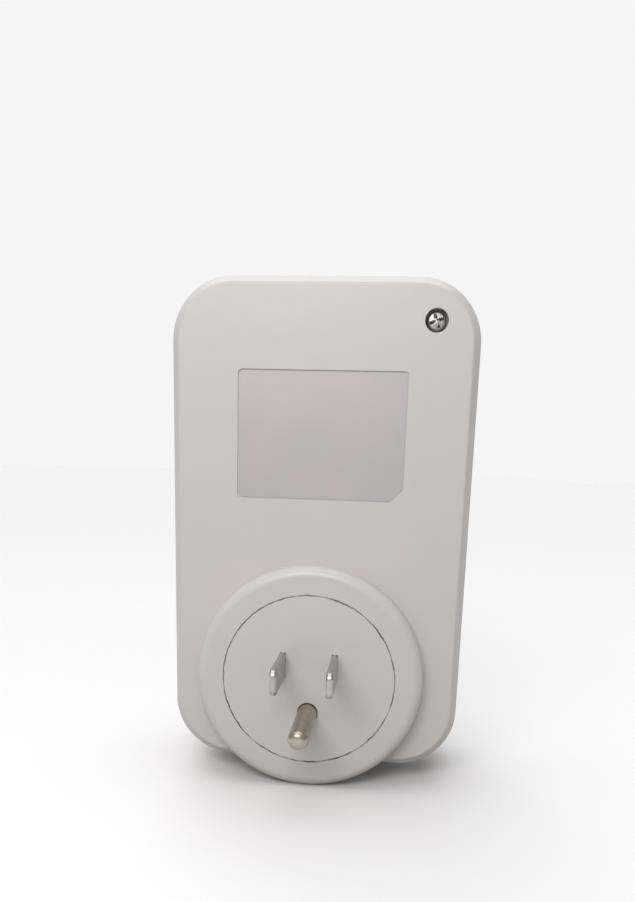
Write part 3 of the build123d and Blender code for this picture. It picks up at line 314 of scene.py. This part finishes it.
case_white = (0.634, 0.594, 0.566)
# lighter colour of the painted highlight along the case's rims
case_rim_highlight = (0.72, 0.69, 0.66)
# near-black colour of the painted shade line in the seam round the plug disc
seam_shade = (0.045, 0.042, 0.038)
case_finish = moulded("case_plastic", case_white, cloud=0.98)
# painted highlight along the front case's rims
case_finish.edges(0.25 * MM, case_rim_highlight, 0.4)
rear_finish = moulded("rear_case_plastic", case_white, cloud=0.98)
# painted highlight along the rear case's rims
rear_finish.edges(0.25 * MM, case_rim_highlight, 0.4)
# painted shade line where the plug disc meets the rear case
rear_finish.ringed(seam_radius, 0.2 * MM, seam_shade, 0.9)
disc_finish = moulded("plug_disc_plastic", (0.640, 0.602, 0.580), cloud=0.98)
# painted shade line in the seam, on the plug disc's side
disc_finish.ringed(seam_radius, 0.24 * MM, seam_shade, 0.9)
dial_finish = moulded("dial_plastic", (0.75, 0.725, 0.70), roughness=0.38, cloud=0.98)
insert_finish = moulded("outlet_plastic", (0.70, 0.675, 0.645), cloud=0.98)
plate_finish = moulded("gear_plate_plastic", (0.58, 0.575, 0.54), roughness=0.5)
gear_finish = moulded("gear_nylon", (0.78, 0.76, 0.69), roughness=0.42)
bobbin_finish = moulded("bobbin_plastic", (0.72, 0.69, 0.58), roughness=0.45)
lever_finish = moulded("lever_acetal", (0.05, 0.12, 0.30), roughness=0.4, cloud=0.8)
switch_body_finish = moulded("microswitch_plastic", (0.018, 0.018, 0.02), roughness=0.4, cloud=0.7)
pin_finish = moulded("pin_plastic", (0.028, 0.092, 0.30), cloud=0.82)
# painted highlight along the pins' edges
pin_finish.edges(0.15 * MM, (0.10, 0.20, 0.44), 0.5)
red_finish = moulded("red_switch_plastic", (0.50, 0.018, 0.02), roughness=0.21, cloud=0.85)
# painted highlight along the red plastic's edges
red_finish.edges(0.2 * MM, (0.66, 0.07, 0.06), 0.5)
plunger_finish = moulded("plunger_plastic", (0.45, 0.03, 0.025), roughness=0.4, cloud=0.85)
wire_finish = moulded("wire_insulation", (0.022, 0.022, 0.024), roughness=0.48, cloud=0.7)

plug_finish = metal("nickel_plate", (0.50, 0.478, 0.44), 0.34, along=(1.0, 0.08, 1.0))
plug_finish.mottled((0.38, 0.36, 0.325), 1.3 * MM, 0.3)
# painted highlight along the plug blades' edges
plug_finish.edges(0.12 * MM, (0.62, 0.60, 0.56), 0.8)
pin_metal_finish = metal("nickel_on_brass", (0.47, 0.43, 0.36), 0.33, along=(1.0, 0.06, 1.0))
pin_metal_finish.mottled((0.30, 0.26, 0.19), 1.8 * MM, 0.4)
brass_finish = metal("contact_brass", (0.74, 0.54, 0.24), 0.34, along=(1.0, 0.1, 1.0))
steel_finish = metal("shaft_steel", (0.56, 0.56, 0.57), 0.2, along=(1.0, 0.05, 1.0))
screw_finish = metal("screw_zinc", (0.46, 0.455, 0.43), 0.33, size=0.3 * MM, depth=0.06 * MM)
screw_finish.mottled((0.22, 0.215, 0.20), 0.5 * MM, 0.7)
motor_finish = metal("motor_steel", (0.50, 0.51, 0.50), 0.36, size=0.5 * MM, depth=0.006 * MM)
copper_finish = metal("winding_copper", (0.55, 0.20, 0.08), 0.34)
magnet_finish = metal("rotor_ferrite", (0.07, 0.07, 0.075), 0.55, size=0.4 * MM)

foil_finish = Finish("label_foil", (0.50, 0.462, 0.452), 0.45, metallic=0.3)
foil_finish.mottled((0.47, 0.437, 0.428), 16 * MM, 0.6)
foil_finish.handled(0.05, 8 * MM)
foil_finish.grained(0.3 * MM, 0.002 * MM)

lens_finish = Finish("lens_red", (0.62, 0.02, 0.015), 0.12, Transmission_Weight=0.55, IOR=1.49)
lens_finish.grained(0.9 * MM, 0.05 * MM)
lens_finish.mottled((0.45, 0.012, 0.01), 2 * MM, 0.5)
glass_finish = Finish("lamp_glass", (0.93, 0.90, 0.86), 0.06, Transmission_Weight=0.9, IOR=1.5)
glass_finish.handled(0.04, 1.0 * MM)
resistor_finish = moulded("resistor_lacquer", (0.50, 0.36, 0.18), cloud=0.9)

ink_finish = Finish("dial_ink", (0.02, 0.024, 0.035), 0.5)
ink_finish.mottled((0.045, 0.05, 0.06), 1.5 * MM, 0.7)
ink_finish.grained(0.1 * MM, 0.003 * MM)
night_ink_finish = Finish("night_ink", (0.05, 0.075, 0.15), 0.5)
night_ink_finish.mottled((0.075, 0.10, 0.19), 2 * MM, 0.7)
night_ink_finish.grained(0.1 * MM, 0.003 * MM)
mark_finish = Finish("mark_ink", (0.16, 0.16, 0.17), 0.5)
mark_finish.mottled((0.22, 0.22, 0.23), 1.5 * MM, 0.6)
mark_finish.grained(0.1 * MM, 0.003 * MM)

finish_of_node = {
    "rear_housing": rear_finish,
    "front_housing": case_finish,
    "time_pointer": red_finish,
    "rating_label": foil_finish,
    "self_tapping_screws": screw_finish,
    "plug_disc": disc_finish,
    "line_blade": plug_finish,
    "neutral_blade": plug_finish,
    "ground_pin": pin_metal_finish,
    "outlet_insert": insert_finish,
    "line_contact": brass_finish,
    "neutral_contact": brass_finish,
    "ground_contact": brass_finish,
    "gear_plate": plate_finish,
    "gear_shafts": steel_finish,
    "dial_axle": steel_finish,
    "program_dial": dial_finish,
    "drive_pinion": gear_finish,
    "clutch_gear": gear_finish,
    "second_gear": gear_finish,
    "first_gear": gear_finish,
    "motor_pinion": gear_finish,
    "motor_cover": motor_finish,
    "motor_cup": motor_finish,
    "coil_bobbin": bobbin_finish,
    "coil_winding": copper_finish,
    "rotor": magnet_finish,
    "cam_follower": lever_finish,
    "switch_body": switch_body_finish,
    "switch_terminals": brass_finish,
    "switch_plunger": plunger_finish,
    "mode_switch": red_finish,
    "indicator_lens": lens_finish,
    "neon_lamp": glass_finish,
    "lamp_resistor": resistor_finish,
    "wires": wire_finish,
}
for hour in range(hours):
    finish_of_node[f"pins_hour_{hour:02d}"] = pin_finish
for node, finish in finish_of_node.items():
    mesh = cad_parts[node].data
    mesh.materials.clear()
    mesh.materials.append(finish.material)

# ---------------------------------------------------------------- printed marks


def piece_from(shape, name, finish, body):
    """Makes a bmesh a finished piece that rides on a body."""
    mesh = bpy.data.meshes.new(name)
    shape.to_mesh(mesh)
    shape.free()
    mesh.materials.append(finish.material)
    mesh.shade_smooth()
    mesh.set_sharp_from_angle(angle=sharp_angle)
    piece = bpy.data.objects.new(name, mesh)
    bpy.context.scene.collection.objects.link(piece)
    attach(piece, body)
    return piece


def lettering(shape, text, height, place):
    """Adds a word or number as a thin flat solid, in the plane that the place matrix gives."""
    curve = bpy.data.curves.new("lettering", "FONT")
    curve.body = text
    curve.size = height / capital_share
    curve.align_x = "CENTER"
    curve.align_y = "CENTER"
    curve.extrude = print_thickness / 2
    curve.resolution_u = 4
    holder = bpy.data.objects.new("lettering", curve)
    mesh = bpy.data.meshes.new_from_object(holder)
    mesh.transform(place)
    shape.from_mesh(mesh)
    bpy.data.meshes.remove(mesh)
    bpy.data.objects.remove(holder)
    bpy.data.curves.remove(curve)


def bar(shape, width, length, place):
    """Adds a thin flat bar along the place matrix's y axis."""
    size = Matrix.Diagonal((width, length, print_thickness, 1.0))
    bmesh.ops.create_cube(shape, size=1.0, matrix=place @ size)


def add_to(shape, part, place):
    """Adds a bmesh to another at a place."""
    mesh = bpy.data.meshes.new("part")
    bmesh.ops.recalc_face_normals(part, faces=part.faces)
    part.to_mesh(mesh)
    part.free()
    mesh.transform(place)
    shape.from_mesh(mesh)
    bpy.data.meshes.remove(mesh)


def thicken(part):
    """Gives flat faces the thickness of the print."""
    grown = bmesh.ops.extrude_face_region(part, geom=list(part.faces))["geom"]
    corners = [item for item in grown if isinstance(item, bmesh.types.BMVert)]
    bmesh.ops.translate(part, verts=corners, vec=(0, 0, print_thickness / 2))
    others = [corner for corner in part.verts if corner not in set(corners)]
    bmesh.ops.translate(part, verts=others, vec=(0, 0, -print_thickness / 2))


def band(shape, ring, turn, steps, place):
    """Adds a thin flat band round the place matrix's z axis, which starts on its x axis."""
    part = bmesh.new()
    ends = [part.verts.new((radius, 0, 0)) for radius in ring]
    edge = part.edges.new(ends)
    bmesh.ops.spin(
        part, geom=ends + [edge], cent=(0, 0, 0), axis=(0, 0, 1), angle=turn, steps=steps, use_merge=False
    )
    bmesh.ops.remove_doubles(part, verts=part.verts, dist=1e-7)
    thicken(part)
    add_to(shape, part, place)


def triangle(shape, length, place):
    """Adds a thin flat triangle that points along the place matrix's y axis."""
    part = bmesh.new()
    bmesh.ops.create_circle(part, cap_ends=True, segments=3, radius=length * triangle_share)
    thicken(part)
    add_to(shape, part, place)


def dial_turn(angle):
    """The place on the dial's face, turned to an angle seen from the front, with its x axis outwards."""
    towards_front = Matrix(((1, 0, 0, 0), (0, 0, -1, 0), (0, 1, 0, 0), (0, 0, 0, 1)))
    face = Matrix.Translation((dial_centre.x, dial_face - print_thickness / 2, dial_centre.z))
    return face @ towards_front @ Matrix.Rotation(angle, 4, "Z")


def on_dial(angle, radius):
    """The place on the dial's face at an angle and a radius, with its y axis outwards."""
    return dial_turn(angle - pi / 2) @ Matrix.Translation((0, radius, 0))


def angle_of(time):
    """The angle on the dial of a time in hours, seen from the front."""
    return pi / 2 + hour_angle * (time - time_at_pointer)


def dial_numbers():
    """Hours, quarters, AM and PM, the night band and the arrows for setting the dial."""
    shape = bmesh.new()
    for hour in range(hours):
        lettering(shape, str((hour - 1) % 12 + 1), number_height, on_dial(angle_of(hour), number_radius))
        for quarter in range(4):
            length, width = hour_tick if quarter == 0 else quarter_tick
            bar(shape, width, length, on_dial(angle_of(hour + quarter / 4), tick_outer - length / 2))
    lettering(shape, "AM", half_day_height, on_dial(angle_of(6), half_day_radius))
    lettering(shape, "PM", half_day_height, on_dial(angle_of(18), half_day_radius))
    for middle in (0, 12):
        start = angle_of(middle) + radians(arrow_spread / 2)
        band(shape, arrow_ring, -radians(arrow_spread), 16, dial_turn(start))
        tip = on_dial(start - radians(arrow_spread), sum(arrow_ring) / 2)
        triangle(shape, arrow_head, tip @ Matrix.Rotation(-pi / 2, 4, "Z"))
    piece_from(shape, "dial_numbers", ink_finish, "dial")
    night = bmesh.new()
    night_turn = hour_angle * (night_hours[1] - night_hours[0])
    band(night, night_ring, night_turn, 72, dial_turn(angle_of(night_hours[0])))
    piece_from(night, "night_band", night_ink_finish, "dial")


def switch_marks():
    """The ON mark over the mode switch and the clock mark under it, on the side wall."""
    shape = bmesh.new()
    reading = Matrix(((0, 0, 1, 0), (1, 0, 0, 0), (0, 1, 0, 0), (0, 0, 0, 1)))
    wall = Matrix.Translation((case_high.x + print_thickness / 2, -window_depth, 0.0))
    above = wall @ Matrix.Translation((0, 0, window_high + mark_from_window)) @ reading
    below = wall @ Matrix.Translation((0, 0, window_low - mark_from_window)) @ reading
    bar(shape, on_mark_width, mark_height, above)
    band(shape, (mark_height / 2 - clock_rim_width, mark_height / 2), 2 * pi, 40, below)
    for turn, length in clock_hands:
        hand = Matrix.Rotation(turn, 4, "Z") @ Matrix.Translation((0, length * mark_height / 2, 0))
        bar(shape, clock_hand_width, length * mark_height, below @ hand)
    piece_from(shape, "mode_marks", mark_finish, "case")


dial_numbers()
switch_marks()

# ---------------------------------------------------------------- screws, winding and lamp


def along_depth(x, z, depth):
    """A place whose z axis points out of the plug face, at a depth behind it."""
    out_of_plug_face = Matrix.Rotation(-pi / 2, 4, "X")
    return Matrix.Translation((x, -depth, z)) @ out_of_plug_face


def screw_head():
    """A pan head with a tapered cross recess. Its seat is at z = 0."""
    part = bmesh.new()
    half, reach = cross_arm
    arm = [(half, half), (half, reach), (-half, reach)]
    corners = [
        part.verts.new(Matrix.Rotation(pi / 2 * quarter, 3, "Z") @ Vector((x, y, 0)))
        for quarter in range(4)
        for x, y in arm
    ]
    mouth = [part.edges.new(pair) for pair in zip(corners, corners[1:] + corners[:1])]
    bottom = bmesh.ops.extrude_edge_only(part, edges=mouth)["geom"]
    floor_corners = [item for item in bottom if isinstance(item, bmesh.types.BMVert)]
    floor_edges = [item for item in bottom if isinstance(item, bmesh.types.BMEdge)]
    bmesh.ops.scale(part, verts=floor_corners, vec=(cross_taper, cross_taper, 1))
    bmesh.ops.translate(part, verts=floor_corners, vec=(0, 0, -cross_depth))
    around = [edge for edge in floor_edges if all(corner in floor_corners for corner in edge.verts)]
    bmesh.ops.contextual_create(part, geom=around)
    rim = None
    for radius, height in head_rings:
        ring = bmesh.ops.create_circle(part, segments=screw_sides, radius=radius * MM)["verts"]
        bmesh.ops.translate(part, verts=ring, vec=(0, 0, height * MM))
        ring_edges = list({edge for corner in ring for edge in corner.link_edges})
        bmesh.ops.bridge_loops(part, edges=(rim or mouth) + ring_edges)
        rim = ring_edges
    bmesh.ops.contextual_create(part, geom=rim)
    bmesh.ops.translate(part, verts=part.verts, vec=(0, 0, -head_rings[-1][1] * MM))
    return part


def screw_shank(length):
    """A shank with a pointed end and a thread, which runs down from z = 0."""
    part = bmesh.new()
    profile = [
        (shank_radius, 0.0),
        (shank_radius, shank_point_length - length),
        (shank_point_radius, -length),
    ]
    corners = [part.verts.new((radius, 0, height)) for radius, height in profile]
    edges = [part.edges.new(pair) for pair in zip(corners, corners[1:])]
    bmesh.ops.spin(
        part, geom=corners + edges, cent=(0, 0, 0), axis=(0, 0, 1), angle=2 * pi, steps=24, use_merge=True
    )
    bmesh.ops.remove_doubles(part, verts=part.verts, dist=1e-7)
    bmesh.ops.holes_fill(part, edges=part.edges)
    thread = bmesh.new()
    root = shank_radius * thread_root_share
    tooth = [
        (root, thread_foot),
        (thread_radius, thread_crest),
        (thread_radius, -thread_crest),
        (root, -thread_foot),
    ]
    corners = [thread.verts.new((radius, 0, height * thread_pitch)) for radius, height in tooth]
    face = thread.faces.new(corners)
    turns = int((length - shank_point_length) / thread_pitch) - 1
    bmesh.ops.translate(thread, verts=corners, vec=(0, 0, -thread_pitch))
    bmesh.ops.spin(
        thread,
        geom=[face] + list(face.edges) + corners,
        cent=(0, 0, 0),
        axis=(0, 0, 1),
        angle=2 * pi * turns,
        dvec=(0, 0, -thread_pitch / thread_steps),
        steps=thread_steps * turns,
        use_merge=False,
    )
    add_to(part, thread, Matrix.Identity(4))
    return part


def modelled_screws():
    """All the screws, in place of the plain ones of the frame."""
    shape = bmesh.new()
    for turn, (x, z, seat, length) in enumerate([case_screw] + plate_screws):
        place = along_depth(x, z, seat) @ Matrix.Rotation(first_screw_turn + screw_turn_step * turn, 4, "Z")
        add_to(shape, screw_head(), place)
        add_to(shape, screw_shank(length), place)
    piece = piece_from(shape, "cross_head_screws", screw_finish, "case")
    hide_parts("self_tapping_screws")


def wound_coil():
    """The copper winding: fine turns laid side by side between the bobbin's flanges."""
    shape = bmesh.new()
    outer = (coil_high.x - coil_low.x) / 2
    inner = bobbin_core + winding_slip
    turns = round((coil_high.y - coil_low.y) / wire_pitch)
    pitch = (coil_high.y - coil_low.y) / turns
    profile = [Vector((inner, 0, 0))]
    for turn in range(turns):
        low = turn * pitch
        for share, dip in wire_dips:
            profile.append(Vector((outer - dip * pitch, 0, low + share * pitch)))
    end_dip = wire_dips[0][1]
    profile += [Vector((outer - end_dip * pitch, 0, turns * pitch)), Vector((inner, 0, turns * pitch))]
    corners = [shape.verts.new(point) for point in profile]
    edges = [shape.edges.new(pair) for pair in zip(corners, corners[1:] + corners[:1])]
    bmesh.ops.spin(
        shape, geom=corners + edges, cent=(0, 0, 0), axis=(0, 0, 1), angle=2 * pi, steps=72, use_merge=True
    )
    bmesh.ops.remove_doubles(shape, verts=shape.verts, dist=1e-7)
    middle = (coil_low + coil_high) / 2
    whole = bmesh.new()
    add_to(whole, shape, along_depth(middle.x, middle.z, -coil_low.y))
    piece = piece_from(whole, "wound_coil", copper_finish, "case")
    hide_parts("coil_winding")


def lamp_electrodes():
    """Two electrodes that stand in the neon lamp's glass."""
    shape = bmesh.new()
    middle = (lamp_low + lamp_high) / 2
    length = (lamp_high.y - lamp_low.y) * electrode_share
    depth = -lamp_high.y + length / 2 + electrode_inset
    for side in (-1, 1):
        part = bmesh.new()
        bmesh.ops.create_cone(
            part,
            cap_ends=True,
            segments=16,
            radius1=electrode_radius,
            radius2=electrode_radius,
            depth=length,
        )
        add_to(shape, part, along_depth(middle.x + side * electrode_from_middle, middle.z, depth))
    piece_from(shape, "lamp_electrodes", steel_finish, "case")


modelled_screws()
wound_coil()
lamp_electrodes()

# ---------------------------------------------------------------- floor, light and camera


def studio_floor():
    """A wide pale floor, level with the object's lowest point, whose paper is greyer under the lamp."""
    shape = bmesh.new()
    bmesh.ops.create_circle(shape, cap_ends=True, segments=96, radius=floor_radius)
    bmesh.ops.translate(shape, verts=shape.verts, vec=(0, 0, cad_low.z))
    mesh = bpy.data.meshes.new("studio_floor")
    shape.to_mesh(mesh)
    shape.free()
    finish = Finish("floor_paper", paper_far, 0.9, Specular_IOR_Level=0.0)
    distance = finish.add("ShaderNodeVectorMath", operation="DISTANCE")
    distance.inputs[1].default_value = under_lamp
    finish.link(finish.place, distance.inputs[0])
    finish.tint(finish.ranged(distance.outputs["Value"], *near_to_far, 1.0, 0.0), paper_near)
    finish.tint(finish.add("ShaderNodeLightPath").outputs["Is Diffuse Ray"], paper_in_bounce)
    finish.grained(1.5 * MM, 0.02 * MM)
    mesh.materials.append(finish.material)
    floor = bpy.data.objects.new("studio_floor", mesh)
    bpy.context.scene.collection.objects.link(floor)


def softbox(name, place, size, watts, colour):
    """A flat light aimed at the middle of the object."""
    light = bpy.data.lights.new(name, "AREA")
    light.shape = "RECTANGLE"
    light.size, light.size_y = size
    light.energy = watts
    light.color = colour
    lamp = bpy.data.objects.new(name, light)
    lamp.location = place
    lamp.rotation_euler = (light_target - Vector(place)).to_track_quat("-Z", "Y").to_euler()
    lamp.visible_camera = False
    bpy.context.scene.collection.objects.link(lamp)


def far_light(name, from_side, strength, width):
    """A very wide soft light at a distance, so that the floor is evenly lit."""
    light = bpy.data.lights.new(name, "SUN")
    light.energy = strength
    light.angle = width
    lamp = bpy.data.objects.new(name, light)
    lamp.rotation_euler = (-Vector(from_side)).to_track_quat("-Z", "Y").to_euler()
    bpy.context.scene.collection.objects.link(lamp)


def studio_air():
    """The pale room: what the camera sees is lighter than what lights the object."""
    world = bpy.data.worlds.new("studio_air")
    world.use_nodes = True
    nodes, links = world.node_tree.nodes, world.node_tree.links
    lit = nodes["Background"]
    lit.inputs["Color"].default_value = air_colour
    direction = nodes.new("ShaderNodeTexCoord").outputs["Generated"]
    facing = nodes.new("ShaderNodeVectorMath")
    facing.operation = "DOT_PRODUCT"
    facing.inputs[1].default_value = brighter_side
    links.new(direction, facing.inputs[0])
    strength = nodes.new("ShaderNodeMapRange")
    for socket, number in zip(range_sockets, (-1.0, 1.0, *air_strength)):
        strength.inputs[socket].default_value = number
    links.new(facing.outputs["Value"], strength.inputs["Value"])
    links.new(strength.outputs["Result"], lit.inputs["Strength"])
    seen = nodes.new("ShaderNodeBackground")
    seen.inputs["Color"].default_value = backdrop_colour
    mix = nodes.new("ShaderNodeMixShader")
    rays = nodes.new("ShaderNodeLightPath")
    links.new(rays.outputs["Is Camera Ray"], mix.inputs["Fac"])
    links.new(lit.outputs["Background"], mix.inputs[1])
    links.new(seen.outputs["Background"], mix.inputs[2])
    links.new(mix.outputs["Shader"], nodes["World Output"].inputs["Surface"])
    bpy.context.scene.world = world


def camera():
    """The eye that looks at the plug face, a little from above."""
    lens = bpy.data.cameras.new("camera")
    lens.lens = camera_lens
    lens.shift_x, lens.shift_y = camera_shift
    lens.sensor_fit = "AUTO"
    lens.sensor_width = sensor_height
    lens.clip_start = 0.01
    eye = bpy.data.objects.new("camera", lens)
    eye.location = camera_place
    look = (camera_target - camera_place).to_track_quat("-Z", "Y")
    eye.rotation_mode = "QUATERNION"
    eye.rotation_quaternion = look @ Matrix.Rotation(-camera_roll, 3, "Z").to_quaternion()
    bpy.context.scene.collection.objects.link(eye)
    bpy.context.scene.camera = eye


studio_floor()
softbox("overhead_softbox", overhead_place, overhead_size, overhead_watts, overhead_colour)
far_light("ceiling_light", ceiling_from, ceiling_strength, ceiling_width)
far_light("front_light", front_from, front_strength, front_width)
studio_air()
camera()
bpy.context.scene.view_settings.view_transform = "Standard"
